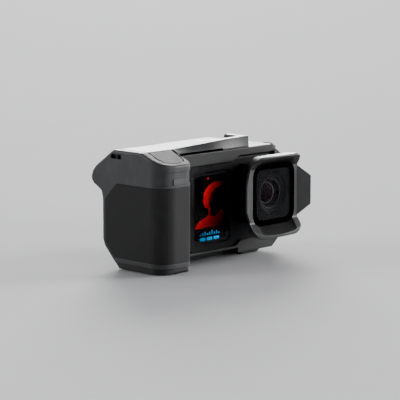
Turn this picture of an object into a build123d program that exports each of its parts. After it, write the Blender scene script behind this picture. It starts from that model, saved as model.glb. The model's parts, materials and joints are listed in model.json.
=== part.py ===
from build123d import *
import math
import os

# Action camera held in a grip cage, in millimetres.
# The origin is the mouth of the tripod socket, on the floor under the lens axis.
# +X is to the right of someone looking at the front, +Y goes to the back and +Z is up.

# Driving dimensions: camera
LENS_Z = 35.4
CAM_LEFT, CAM_RIGHT = -53.0, 18.8
CAM_FRONT, CAM_BACK = -13.0, 14.0
CAM_BOTTOM, CAM_TOP = 5.0, 56.0
CAM_CORNER = 7.0
CAM_WALL = 1.8
CAM_SPLIT = -8.0
BARREL_HALF = 16.6
BARREL_CORNER = 6.3
BARREL_FRONT = -25.6
PANEL_HALF = 16.8
PANEL_CORNER = 6.5
PANEL_FRONT = -27.35
PANEL_RIM = 2.8
LENS_OPENING_R = 10.5
FRONT_ELEMENT_R = 7.7
SECOND_ELEMENT_R = 4.95
REAR_ELEMENT_R = 5.95
DOME_R = 11.0
DOME_FRONT = -25.4
SECOND_DOME_R = 8.0
SECOND_FRONT = -19.6
MASK_FRONT = -25.55
CELL_FRONT = -24.1

# Driving dimensions: cage
CAGE_LEFT = -60.95
CAGE_FRONT, CAGE_BACK = -14.5, 15.8
CAGE_BOTTOM, CAGE_TOP = 2.6, 60.8
CAGE_SIDE = 22.0
SEAM_X = 14.5
SEAM_GAP = 0.25
CAVITY_GAP = 0.25
HINGE_X, HINGE_Y = 19.0, 18.0
HINGE_PIN_R = 0.9
KNUCKLE_R = 2.0
TRIPOD_R = 3.175
TRIPOD_DEPTH = 4.6

# Driving dimensions: grip
GRIP_LEFT, GRIP_RIGHT = -84.3, -61.0
GRIP_FRONT, GRIP_BACK = -25.4, 29.5
GRIP_TOP = 64.1
GRIP_REAR_FACE = 20.7
SHOULDER_FRONT, SHOULDER_BACK = (12.0, 64.1), (25.7, 54.5)
GRIP_BASE_TOP = 3.6
GRIP_WALL = 2.4
GRIP_ROUND = 1.2
GRIP_CORNER = 10.0
GRIP_FRONT_RIGHT = 5.0
GRIP_REAR_LEFT = 1.2
RUBBER_DEPTH = 1.2
RUBBER_PROUD = 0.25
CHAMFER_Y = -9.3
CHAMFER_FRONT_Z = 57.8

# Driving dimensions: top bar, shoe and hood
BAR_MIDDLE, BAR_RIGHT = -27.0, -5.9
BAR_TOP_RIGHT = 67.1
BAR_ROUND = 0.9
SHOE_WIDTH = 18.7
SHOE_OPENING = 12.7
SHOE_CENTRE_X = -16.6
SHOE_FRONT, SHOE_BACK = -9.4, 1.0
SHOE_SCREW_Y = -4.0
SHOE_FLOOR = 62.9
SHOE_CHANNEL = 2.1
HOOD_HALF = 19.5
HOOD_BOTTOM, HOOD_TOP = 11.9, 57.2
HOOD_CORNER = 7.0
HOOD_FLARE = 0.5
HOOD_STEP, HOOD_REAR = -25.8, -24.4
SLEEVE_HALF = 18.25
HOOD_TIP = -33.0
HOOD_GAP = 0.25
LINER_HALF = 17.5
LINER_FRONT, LINER_BACK = -26.2, -25.0
WING_REACH = 6.7
WING_FORWARD = 4.55
HOOD_SCREW_Y = -28.6

EPS = 0.05

NODES = {}


def node(name, shape):
    NODES[name] = shape


# Helpers: faces drawn in a plane and pushed out along an axis
def outline(points):
    """Closed face from (u, v, corner radius) triples, facing local +Z whichever way the points run."""
    area = sum(a[0] * b[1] - b[0] * a[1] for a, b in zip(points, points[1:] + points[:1]))
    if area < 0:
        points = points[::-1]
    face = Sketch() + Polygon(*[(u, v) for u, v, radius in points], align=None)
    for u, v, radius in points:
        if radius > 0:
            corner = face.vertices().sort_by_distance((u, v, 0))[0]
            face = fillet(corner, radius)
    return face


def along_x(face, x0, x1):
    return extrude(Plane.YZ.offset(x0) * face, x1 - x0)


def along_y(face, y0, y1):
    return extrude(Plane.XZ.offset(-y0) * face, y0 - y1)


def along_z(face, z0, z1):
    return extrude(Plane.XY.offset(z0) * face, z1 - z0)


def block(x0, x1, y0, y1, z0, z1):
    centre = ((x0 + x1) / 2, (y0 + y1) / 2, (z0 + z1) / 2)
    return Pos(*centre) * Box(x1 - x0, y1 - y0, z1 - z0)


def rect(u0, u1, v0, v1, radius):
    return outline([(u0, v0, radius), (u1, v0, radius), (u1, v1, radius), (u0, v1, radius)])


def disc(u, v, radius):
    return Pos(u, v) * Circle(radius)


def rod_x(y, z, radius, x0, x1):
    return along_x(disc(y, z, radius), x0, x1)


def rod_y(x, z, radius, y0, y1):
    return along_y(disc(x, z, radius), y0, y1)


def rod_z(x, y, radius, z0, z1):
    return along_z(disc(x, y, radius), z0, z1)


def square(half, radius):
    """Rounded square on the lens axis, in the XZ plane."""
    return rect(-half, half, LENS_Z - half, LENS_Z + half, radius)


def taper(face_a, y_a, face_b, y_b):
    """Straight-sided transition between two XZ faces."""
    return loft([Plane.XZ.offset(-y_a) * face_a, Plane.XZ.offset(-y_b) * face_b], ruled=True)


def screw(x, y, z, turn, head_r, head_h, shank_r, shank_h):
    """Pan screw with a hexagon recess; its head lies on local +Z."""
    head = Cylinder(head_r, head_h, align=(Align.CENTER, Align.CENTER, Align.MIN))
    socket = extrude(RegularPolygon(head_r * 0.5, 6), head_h)
    shank = Cylinder(shank_r, shank_h, align=(Align.CENTER, Align.CENTER, Align.MAX))
    return Pos(x, y, z) * turn * (head - Pos(0, 0, head_h * 0.35) * socket + shank)


FACE_UP = Rot(0, 0, 0)
FACE_DOWN = Rot(180, 0, 0)
FACE_FRONT = Rot(90, 0, 0)
FACE_BACK = Rot(-90, 0, 0)
FACE_RIGHT = Rot(0, 90, 0)


# Camera
def camera_form(gap):
    """Outer form of the camera body, grown by gap."""
    face = rect(CAM_LEFT - gap, CAM_RIGHT + gap, CAM_BOTTOM - gap, CAM_TOP + gap, CAM_CORNER + gap)
    return along_y(face, CAM_FRONT - gap, CAM_BACK + gap)


GLASS_LEFT, GLASS_RIGHT = -49.5, -20.0
GLASS_BOTTOM, GLASS_TOP = 10.2, 50.0
GLASS_DEPTH = 1.2
LCD_INSET = 2.4
LCD_DEPTH = 1.8
REAR_GLASS_LEFT, REAR_GLASS_RIGHT = -47.0, 11.0
REAR_GLASS_BOTTOM, REAR_GLASS_TOP = 12.0, 49.5
SENSOR_Y = -4.0
CAM_BUTTON_X, CAM_BUTTON_Y = -32.5, -3.0
MODE_Y, MODE_Z = 2.0, 38.0
FINGER_XS = (-23.4, -13.8)
FINGER_HINGE_Y = -4.0
FINGER_LENGTH = 13.0
FINGER_THICK = 2.6
BAY_LEFT, BAY_RIGHT = -28.2, -9.0
BAY_FRONT, BAY_BACK = -8.5, 11.5
BAY_DEPTH = 5.0
PORT_Y, PORT_Z = 1.0, 27.0


def glass_rect(inset, radius):
    return rect(GLASS_LEFT + inset, GLASS_RIGHT - inset, GLASS_BOTTOM + inset, GLASS_TOP - inset, radius)


def rear_rect(inset, radius):
    return rect(REAR_GLASS_LEFT + inset, REAR_GLASS_RIGHT - inset,
                REAR_GLASS_BOTTOM + inset, REAR_GLASS_TOP - inset, radius)


def make_front_shell():
    outer = camera_form(0) & block(-100, 100, CAM_FRONT, CAM_SPLIT, 0, 100)
    outer = fillet(outer.edges().group_by(Axis.Y)[0], 0.9)
    inner = rect(CAM_LEFT + CAM_WALL, CAM_RIGHT - CAM_WALL, CAM_BOTTOM + CAM_WALL,
                 CAM_TOP - CAM_WALL, CAM_CORNER - CAM_WALL)
    shell = outer - along_y(inner, CAM_FRONT + CAM_WALL, CAM_SPLIT)
    shell -= along_y(glass_rect(-EPS, 2.6), CAM_FRONT, CAM_FRONT + GLASS_DEPTH)
    shell -= along_y(glass_rect(LCD_INSET - EPS, 1.5), CAM_FRONT, CAM_SPLIT)
    shell -= along_y(disc(0, LENS_Z, 12.6), CAM_FRONT, CAM_SPLIT)
    shell -= block(BAY_LEFT, BAY_RIGHT, BAY_FRONT, CAM_SPLIT, 0, CAM_BOTTOM + BAY_DEPTH)
    for row in range(3):
        for column in range(7):
            shell -= rod_y(-45.0 + column * 1.7, 52.2 + (row - 1) * 1.1, 0.3, CAM_FRONT, CAM_FRONT + CAM_WALL)
    node("camera_front_shell", shell)


def make_rear_shell():
    outer = camera_form(0) & block(-100, 100, CAM_SPLIT + EPS, CAM_BACK, 0, 100)
    outer = fillet(outer.edges().group_by(Axis.Y)[-1], 1.2)
    inner = rect(CAM_LEFT + CAM_WALL, CAM_RIGHT - CAM_WALL, CAM_BOTTOM + CAM_WALL,
                 CAM_TOP - CAM_WALL, CAM_CORNER - CAM_WALL)
    shell = outer - along_y(inner, CAM_SPLIT, CAM_BACK - CAM_WALL)
    shell += block(BAY_LEFT - 1.5, BAY_RIGHT + 1.5, CAM_SPLIT + EPS, BAY_BACK + 1.5,
                   CAM_BOTTOM + 1.0, CAM_BOTTOM + BAY_DEPTH + 1.2)
    shell -= block(BAY_LEFT, BAY_RIGHT, CAM_SPLIT - 1, BAY_BACK, 0, CAM_BOTTOM + BAY_DEPTH)
    shell -= along_y(rear_rect(-EPS, 3.0), CAM_BACK - GLASS_DEPTH, CAM_BACK)
    shell -= along_y(rear_rect(LCD_INSET - EPS, 1.5), 0, CAM_BACK)
    shell -= rod_z(CAM_BUTTON_X, CAM_BUTTON_Y, 4.75, CAM_TOP - 3, CAM_TOP + 1)
    shell -= along_x(rect(MODE_Y - 4.6, MODE_Y + 4.6, MODE_Z - 2.1, MODE_Z + 2.1, 1.9), CAM_RIGHT - 3, CAM_RIGHT + 1)
    shell -= along_x(rect(PORT_Y - 5.2, PORT_Y + 5.2, PORT_Z - 10.0, PORT_Z + 10.0, 1.5), CAM_LEFT - 1, CAM_LEFT + 3)
    for row in range(4):
        slot = rect(-44.0 + row * 2.2, -43.0 + row * 2.2, 5.0, 11.0, 0.4)
        shell -= along_z(slot, CAM_TOP - CAM_WALL - 1, CAM_TOP + 1)
    node("camera_rear_shell", shell)


def make_screens():
    node("front_glass", along_y(glass_rect(0, 2.5), CAM_FRONT + EPS, CAM_FRONT + GLASS_DEPTH - EPS))
    front_y = CAM_FRONT + GLASS_DEPTH
    node("front_display", along_y(glass_rect(LCD_INSET, 1.4), front_y, front_y + LCD_DEPTH))
    node("rear_glass", along_y(rear_rect(0, 2.9), CAM_BACK - GLASS_DEPTH + EPS, CAM_BACK - EPS))
    rear_y = CAM_BACK - GLASS_DEPTH
    node("rear_display", along_y(rear_rect(LCD_INSET, 1.4), rear_y - LCD_DEPTH, rear_y))


def make_barrel():
    barrel = along_y(square(BARREL_HALF, BARREL_CORNER), BARREL_FRONT, CAM_FRONT)
    barrel += rod_y(0, LENS_Z, 12.5, CAM_FRONT, CAM_SPLIT)
    barrel -= rod_y(0, LENS_Z, 11.2, BARREL_FRONT, CAM_SPLIT)
    node("lens_barrel", barrel)
    cell = rod_y(0, LENS_Z, 11.1, CELL_FRONT, CAM_SPLIT)
    bore = rod_y(0, LENS_Z, FRONT_ELEMENT_R + EPS, CELL_FRONT, CELL_FRONT + 4.0)
    bore += rod_y(0, LENS_Z, SECOND_ELEMENT_R + EPS, CELL_FRONT + 4.0, CAM_FRONT)
    bore += rod_y(0, LENS_Z, REAR_ELEMENT_R + EPS, CAM_FRONT, CAM_SPLIT)
    node("lens_cell", cell - bore)
    cone = Cone(LENS_OPENING_R + 0.3, FRONT_ELEMENT_R + 0.4, CELL_FRONT - MASK_FRONT)
    mask = rod_y(0, LENS_Z, 11.1, MASK_FRONT, CELL_FRONT)
    mask -= Pos(0, (MASK_FRONT + CELL_FRONT) / 2, LENS_Z) * Rot(-90, 0, 0) * cone
    node("lens_hood_ring", mask)
    dome = Sphere(DOME_R) & Pos(0, 0, DOME_R - 2.0) * Cylinder(FRONT_ELEMENT_R, 6.0)
    front = Pos(0, DOME_FRONT + DOME_R, LENS_Z) * Rot(90, 0, 0) * dome
    front -= Pos(0, DOME_FRONT + DOME_R + 3.6, LENS_Z) * Sphere(DOME_R - 0.4)
    node("front_element", front)
    second = Sphere(SECOND_DOME_R) & Pos(0, 0, SECOND_DOME_R - 1.0) * Cylinder(SECOND_ELEMENT_R, 4.0)
    node("second_element", Pos(0, SECOND_FRONT + SECOND_DOME_R, LENS_Z) * Rot(90, 0, 0) * second)
    node("third_element", rod_y(0, LENS_Z, SECOND_ELEMENT_R, -14.6, -13.2))
    node("rear_element", rod_y(0, LENS_Z, REAR_ELEMENT_R, -11.5, -9.2))


def make_lens_cover():
    frame = along_y(square(PANEL_HALF, PANEL_CORNER), PANEL_FRONT, BARREL_FRONT)
    frame -= along_y(square(PANEL_HALF - PANEL_RIM, PANEL_CORNER - 2.0), PANEL_FRONT, PANEL_FRONT + 0.9)
    frame -= rod_y(0, LENS_Z, LENS_OPENING_R + 0.6, PANEL_FRONT, BARREL_FRONT)
    node("lens_cover_frame", frame)
    window = square(PANEL_HALF - PANEL_RIM - EPS, PANEL_CORNER - 2.0 - EPS)
    glass = along_y(window, PANEL_FRONT + 0.02, PANEL_FRONT + 0.85)
    node("lens_cover_glass", glass)
    seal = rod_y(0, LENS_Z, 14.6, BARREL_FRONT + EPS, BARREL_FRONT + 0.8)
    seal -= rod_y(0, LENS_Z, 13.4, BARREL_FRONT, BARREL_FRONT + 1.0)
    NODES["lens_barrel"] -= rod_y(0, LENS_Z, 14.65, BARREL_FRONT, BARREL_FRONT + 0.85)
    NODES["lens_barrel"] += rod_y(0, LENS_Z, 13.35, BARREL_FRONT, BARREL_FRONT + 0.9)
    NODES["lens_barrel"] -= rod_y(0, LENS_Z, 11.2, BARREL_FRONT, CAM_SPLIT)
    node("lens_cover_seal", seal)


def make_camera_inside():
    sensor = along_y(square(8.5, 1.0), SENSOR_Y - 3.0, SENSOR_Y)
    sensor += along_y(square(4.5, 0.3), SENSOR_Y - 3.9, SENSOR_Y - 3.0)
    node("image_sensor", sensor)
    battery = block(-43.5, -16.0, -6.5, 5.0, 12.0, 46.0)
    node("camera_battery", fillet(battery.edges().filter_by(Axis.X), 2.0))
    board = block(-49.0, 15.0, 8.0, 9.2, 12.5, 51.5)
    chips = block(-8, 6, 6.8, 8.0, 28, 42) + block(-30, -21, 6.8, 8.0, 34, 43)
    node("main_board", board + chips - block(-32, -5, 7.5, 10, 0, 12.7))
    plate = block(-13.5, 14.5, 3.5, 4.7, 16.0, 50.0)
    for fin in range(6):
        plate += block(-12.5 + fin * 5.0, -11.5 + fin * 5.0, 1.5, 3.5, 18.0, 48.0)
    node("heat_spreader", plate)


def make_camera_buttons():
    cap = rod_z(CAM_BUTTON_X, CAM_BUTTON_Y, 4.6, CAM_TOP - 1.2, CAM_TOP + 1.4)
    cap = fillet(cap.edges().group_by(Axis.Z)[-1], 0.5)
    cap += rod_z(CAM_BUTTON_X, CAM_BUTTON_Y, 1.2, CAM_TOP - 2.6, CAM_TOP - 1.2)
    node("camera_shutter_button", cap)
    cap = along_x(rect(MODE_Y - 4.4, MODE_Y + 4.4, MODE_Z - 1.9, MODE_Z + 1.9, 1.8), CAM_RIGHT - 1.4, CAM_RIGHT + 0.9)
    cap += rod_x(MODE_Y, MODE_Z, 1.0, CAM_RIGHT - 2.8, CAM_RIGHT - 1.4)
    node("mode_button", cap)
    board = block(-41.0, -24.0, -6.5, 1.0, CAM_TOP - 5.2, CAM_TOP - 4.2)
    board += rod_z(CAM_BUTTON_X, CAM_BUTTON_Y, 1.8, CAM_TOP - 4.2, CAM_TOP - 3.4)
    node("shutter_switch", board)


def make_fingers():
    """Two folding mount fingers that lie flat in the bay under the camera."""
    for name, x in zip(("left_mount_finger", "right_mount_finger"), FINGER_XS):
        hinge_z = CAM_BOTTOM + 2.6
        ring_y = FINGER_HINGE_Y + FINGER_LENGTH - 2.0
        finger = along_x(rect(FINGER_HINGE_Y - 2.2, FINGER_HINGE_Y + FINGER_LENGTH, hinge_z - 2.2, hinge_z + 2.2, 2.1),
                         x - FINGER_THICK / 2, x + FINGER_THICK / 2)
        finger -= rod_x(FINGER_HINGE_Y, hinge_z, 0.8, x - 5, x + 5)
        finger -= rod_x(ring_y - 2.4, hinge_z, 1.3, x - 5, x + 5)
        node(name, finger)
    pin = rod_x(FINGER_HINGE_Y, CAM_BOTTOM + 2.6, 0.75, BAY_LEFT, BAY_RIGHT)
    node("finger_pin", pin)


def make_camera():
    make_front_shell()
    make_rear_shell()
    make_screens()
    make_barrel()
    make_lens_cover()
    make_camera_inside()
    make_camera_buttons()
    make_fingers()


# Cage
def cage_outline():
    return outline([
        (CAGE_LEFT, CAGE_BOTTOM, 1.0), (13.4, CAGE_BOTTOM, 0.8), (18.2, 6.6, 0.8), (CAGE_SIDE, 9.9, 1.2),
        (CAGE_SIDE, 54.6, 1.2), (19.5, 56.6, 0.6), (12.8, CAGE_TOP, 0.8), (CAGE_LEFT, CAGE_TOP, 1.0)])


def cage_window():
    """Front opening of the cage: thin lips over the screen, thick ones beside the lens."""
    return outline([
        (-53.0, 6.8, 1.5), (-16.6, 6.8, 0), (-12.6, 9.7, 0), (16.0, 9.7, 1.0),
        (16.0, 56.9, 1.0), (-13.5, 56.9, 0), (-19.2, 54.1, 0), (-53.0, 54.1, 1.5)])


CAGE_SCREWS = ((-9.0, 10.0), (-9.0, 50.0), (11.0, 10.0), (11.0, 50.0))
LATCH_Y0, LATCH_Y1 = -10.5, -7.5
LATCH_TRAVEL = 3.0
NOTCH_BACK = -12.6
DOOR_BACK = 14.0
FRAME_KNUCKLES = ((8.0, 14.0), (50.0, 56.0))
DOOR_KNUCKLES = ((14.3, 22.0), (42.0, 49.7))


def corner_notch():
    """Steeper cut across the front lip at the upper right corner, in front of the latch."""
    face = outline([(12.8, CAGE_TOP, 0), (15.4, 56.4, 0), (CAGE_SIDE + 1, 53.2, 0),
                    (CAGE_SIDE + 1, CAGE_TOP + 1, 0), (12.8, CAGE_TOP + 1, 0)])
    return along_y(face, CAGE_FRONT - 1, NOTCH_BACK)


def make_cage_frame():
    solid = along_y(cage_outline(), CAGE_FRONT, CAGE_BACK)
    solid = fillet(solid.edges().group_by(Axis.Y)[0], 0.5) - corner_notch()
    left = solid & block(-100, SEAM_X, -100, 100, 0, 100)
    rear = solid & block(0, CAM_RIGHT + 0.1, DOOR_BACK + 0.2, 100, 0, 100)
    frame = left + rear
    frame -= camera_form(CAVITY_GAP)
    frame -= along_y(rect(CAM_LEFT - CAVITY_GAP + 7, 100, CAM_BOTTOM - CAVITY_GAP, CAM_TOP + CAVITY_GAP, 0.1),
                     CAM_FRONT - CAVITY_GAP, DOOR_BACK + 0.25)
    frame -= along_y(cage_window(), CAGE_FRONT - 1, CAM_FRONT)
    frame -= along_y(rect(-49.5, 14.0, 9.0, 52.5, 4.0), CAM_BACK, CAGE_BACK + 1)
    under = outline([(CAGE_FRONT - 1, 6.6, 0), (CAGE_FRONT - 1, CAGE_BOTTOM - 1, 0), (-10.3, CAGE_BOTTOM - 1, 0)])
    frame -= along_x(under, CAGE_LEFT - 1, -15.0)
    frame -= rod_z(CAM_BUTTON_X, CAM_BUTTON_Y, 6.2, CAM_TOP, CAGE_TOP + 1)
    frame -= along_z(rect(BAY_LEFT - 0.3, BAY_RIGHT + 0.3, -14.0, BAY_BACK + 0.5, 1.0), 0, CAM_BOTTOM + 1)
    frame -= along_x(rect(PORT_Y - 5.0, PORT_Y + 5.0, PORT_Z - 8.0, PORT_Z + 8.0, 2.0), CAGE_LEFT - 1, CAM_LEFT)
    frame -= block(12.2, SEAM_X + 1, LATCH_Y0 - 1.0, LATCH_Y1 + LATCH_TRAVEL + 0.4, 57.3, 59.0)
    boss = along_z(rect(-8.2, 8.6, -10.0, 10.0, 3.0), 0.6, CAGE_BOTTOM + 0.5)
    frame += boss
    frame -= rod_z(0, 0, 5.2, 0, CAM_BOTTOM)
    frame -= camera_form(CAVITY_GAP)
    for x in (-44.0, -36.0):
        frame -= along_z(rect(x - 2.6, x + 2.6, 2.0, 10.0, 2.5), CAM_TOP, CAGE_TOP + 1)
    for low, high in FRAME_KNUCKLES:
        frame += block(13.0, HINGE_X, CAGE_BACK - 0.4, HINGE_Y + KNUCKLE_R, low, high)
        frame += rod_z(HINGE_X, HINGE_Y, KNUCKLE_R, low, high)
        frame -= rod_z(HINGE_X, HINGE_Y, HINGE_PIN_R + 0.02, low - 1, high + 1)
    node("cage_frame", frame)


def make_side_door():
    solid = along_y(cage_outline(), CAGE_FRONT, DOOR_BACK)
    solid = fillet(solid.edges().group_by(Axis.Y)[0], 0.5) - corner_notch()
    door = solid & block(SEAM_X + SEAM_GAP, 100, -100, 100, 0, 100)
    door -= camera_form(CAVITY_GAP + 0.1)
    door -= block(0, CAM_RIGHT - 5.0, CAM_FRONT - 0.3, 100, CAM_BOTTOM - 0.3, CAM_TOP + 0.3)
    door -= along_y(rect(0, 16.8, 9.2, 53.0, 2.0), CAGE_FRONT - 1, CAM_FRONT)
    door -= along_x(rect(MODE_Y - 7.0, MODE_Y + 7.0, MODE_Z - 4.4, MODE_Z + 4.4, 3.0), CAM_RIGHT, CAGE_SIDE + 1)
    for rib in range(3):
        z = 16.0 + rib * 4.0
        door -= along_x(rect(-9.0, 9.0, z - 0.8, z + 0.8, 0.7), CAGE_SIDE - 0.6, CAGE_SIDE + 1)
    for low, high in DOOR_KNUCKLES:
        arm = outline([(CAGE_SIDE - 2.7, DOOR_BACK - 0.6, 0), (CAGE_SIDE, DOOR_BACK - 0.6, 0),
                       (CAGE_SIDE, HINGE_Y - 1.5, 0), (HINGE_X + 1.4, HINGE_Y + 1.4, 0),
                       (HINGE_X - 0.2, HINGE_Y - 1.2, 0), (CAGE_SIDE - 2.7, HINGE_Y - 2.2, 0)])
        door += along_z(arm, low, high)
        door += rod_z(HINGE_X, HINGE_Y, KNUCKLE_R, low, high)
        door -= rod_z(HINGE_X, HINGE_Y, HINGE_PIN_R + 0.06, low - 1, high + 1)
    door -= block(SEAM_X, 17.2, LATCH_Y0 - 0.3, LATCH_Y1 + LATCH_TRAVEL + 0.3, 57.3, 62.0)
    node("side_door", door)
    node("door_hinge_pin", rod_z(HINGE_X, HINGE_Y, HINGE_PIN_R, 8.0, 56.0))


def make_latch():
    latch = block(12.6, 16.8, LATCH_Y0, LATCH_Y1, 57.6, 58.7)
    latch += block(15.2, 16.8, LATCH_Y0, LATCH_Y1, 57.6, 59.8)
    slope = math.degrees(math.atan2(CAGE_TOP - 56.6, 19.5 - 12.8))
    cap = Box(4.2, 6.2, 1.2)
    for rib in range(3):
        cap -= Pos(-1.3 + rib * 1.3, 0, 0.6) * Box(0.55, 5.2, 0.6)
    latch += Pos(16.55, (LATCH_Y0 + LATCH_Y1) / 2, 59.33) * Rot(0, slope, 0) * cap
    node("door_latch", latch)


def make_tripod():
    insert = rod_z(0, 0, 5.15, 0, TRIPOD_DEPTH) - rod_z(0, 0, TRIPOD_R, -1, TRIPOD_DEPTH + 1)
    node("tripod_insert", insert)
    pad = along_z(rect(-7.4, 7.8, -9.2, 9.2, 2.4), 0, 0.6) - rod_z(0, 0, 6.0, -1, 2)
    node("base_pad", pad)


def make_cage_screws():
    screws = []
    for y, z in CAGE_SCREWS:
        screws.append(screw(CAM_LEFT - CAVITY_GAP - 2.0, y, z, FACE_RIGHT, 2.2, 1.5, 1.0, 8.5))
    holes = screws[0]
    for other in screws[1:]:
        holes += other
    node("cage_screws", holes)
    for y, z in CAGE_SCREWS:
        NODES["cage_frame"] -= rod_x(y, z, 2.3, CAM_LEFT - CAVITY_GAP - 2.0, CAM_LEFT)
        NODES["cage_frame"] -= rod_x(y, z, 1.0, CAGE_LEFT - 1, CAM_LEFT)


def make_cage():
    make_cage_frame()
    make_side_door()
    make_latch()
    make_tripod()
    make_cage_screws()


# Grip
def grip_plan(inset):
    left, right = GRIP_LEFT + inset, GRIP_RIGHT - inset
    front, back = GRIP_FRONT + inset, GRIP_BACK - inset
    return outline([(left, front, GRIP_CORNER - inset), (right, front, max(GRIP_FRONT_RIGHT - inset, 0.5)),
                    (right, back, 0), (left, back, max(GRIP_REAR_LEFT - inset, 0))])


def grip_side():
    """Side view of the grip with sharp corners, in the YZ plane."""
    return outline([
        (-23.4, 0, 0), (8.2, 0, 0), (19.2, 11.4, 0), (GRIP_REAR_FACE, 15.0, 0), (GRIP_REAR_FACE, 37.4, 0),
        (21.7, 41.1, 0), (24.4, 42.9, 0), (27.6, 44.5, 0), (29.1, 46.3, 0), (29.4, 48.4, 0), (28.2, 51.8, 0),
        (*SHOULDER_BACK, 0), (*SHOULDER_FRONT, 0),
        (CHAMFER_Y, GRIP_TOP, 0), (GRIP_FRONT, CHAMFER_FRONT_Z, 0), (GRIP_FRONT, 2.4, 0)])


def grip_form():
    """Outer form of the grip: side view and plan view crossed, with every edge rounded."""
    side = offset(grip_side(), -GRIP_ROUND, kind=Kind.INTERSECTION)
    core = along_x(side, GRIP_LEFT + GRIP_ROUND, GRIP_RIGHT - GRIP_ROUND)
    core &= along_z(grip_plan(GRIP_ROUND), -1, GRIP_TOP + 1)
    return offset(core, GRIP_ROUND, kind=Kind.ARC)


RUBBER_BOTTOM, RUBBER_TOP = 6.2, 46.0
RUBBER_END_X = -64.0
RUBBER_REAR = GRIP_REAR_FACE - 2.7
KEY_DEPTH = 1.8
KEY_TRAVEL = 0.8
KEY_GAP = 0.75
COVER_GAP = 0.6
KEY_PLAN = [(-78.9, -9.6, 0.6), (-62.3, -9.6, 0.4), (-64.2, -20.8, 1.6), (-70.9, -22.9, 6.0),
            (-77.8, -21.4, 2.6), (-79.2, -16.3, 5.0)]
COVER_LEFT = -79.5
COVER_THICK = 1.7
LANYARD_Y = 9.4
POWER_Y = 19.9
POWER_SINK = 0.5
POWER_R = 3.4
POWER_TRAVEL = 0.6
INDICATOR = (-75.9, -65.5, 47.7, 50.8)
PORT_DOOR = (-71.0, -62.6, 17.0, 32.0)
PORT_DOOR_HINGE_X, PORT_DOOR_HINGE_Y = -63.4, GRIP_REAR_FACE - 0.7
GRIP_PORT_X, GRIP_PORT_Z = -67.4, 24.5
SHELL_SCREWS = ((-80.2, -14.0), (-65.0, -14.0), (-80.2, 3.0), (-65.0, 3.0))
COVER_SCREWS = ((-17.5, 10.5), (-17.5, 53.5), (14.0, 20.0), (14.0, 42.0))


def chamfer_z(y):
    """Height of the sloping front of the grip's top."""
    slope = (GRIP_TOP - CHAMFER_FRONT_Z) / (CHAMFER_Y - GRIP_FRONT)
    return GRIP_TOP + (y - CHAMFER_Y) * slope


def chamfer_slab(depth_top, depth_bottom):
    """Slab that follows the sloping front, between two depths below it."""
    back_y, front_y = CHAMFER_Y + 1.0, GRIP_FRONT
    face = outline([
        (back_y, chamfer_z(back_y) - depth_top, 0), (front_y, chamfer_z(front_y) - depth_top, 0),
        (front_y, chamfer_z(front_y) - depth_bottom, 0), (back_y, chamfer_z(back_y) - depth_bottom, 0)])
    return along_x(face, GRIP_LEFT, GRIP_RIGHT)


def rubber_region(grow):
    face = outline([
        (-40.0, RUBBER_BOTTOM - grow, 0), (11.5 + grow, RUBBER_BOTTOM - grow, 0.8), (RUBBER_REAR + grow, 14.0, 1.5),
        (RUBBER_REAR + grow, 37.4, 1.5), (9.4 + grow, RUBBER_TOP + grow, 0.8), (-40.0, RUBBER_TOP + grow, 0)])
    return along_x(face, GRIP_LEFT - 2, RUBBER_END_X + grow)


def power_place():
    """Frame of the power button: local +Z points out of the sloping rear shoulder."""
    fall = (SHOULDER_FRONT[1] - SHOULDER_BACK[1]) / (SHOULDER_BACK[0] - SHOULDER_FRONT[0])
    z = SHOULDER_FRONT[1] - (POWER_Y - SHOULDER_FRONT[0]) * fall - POWER_SINK
    return Pos((GRIP_LEFT + GRIP_RIGHT) / 2, POWER_Y, z) * Rot(-math.degrees(math.atan(fall)), 0, 0)


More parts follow.
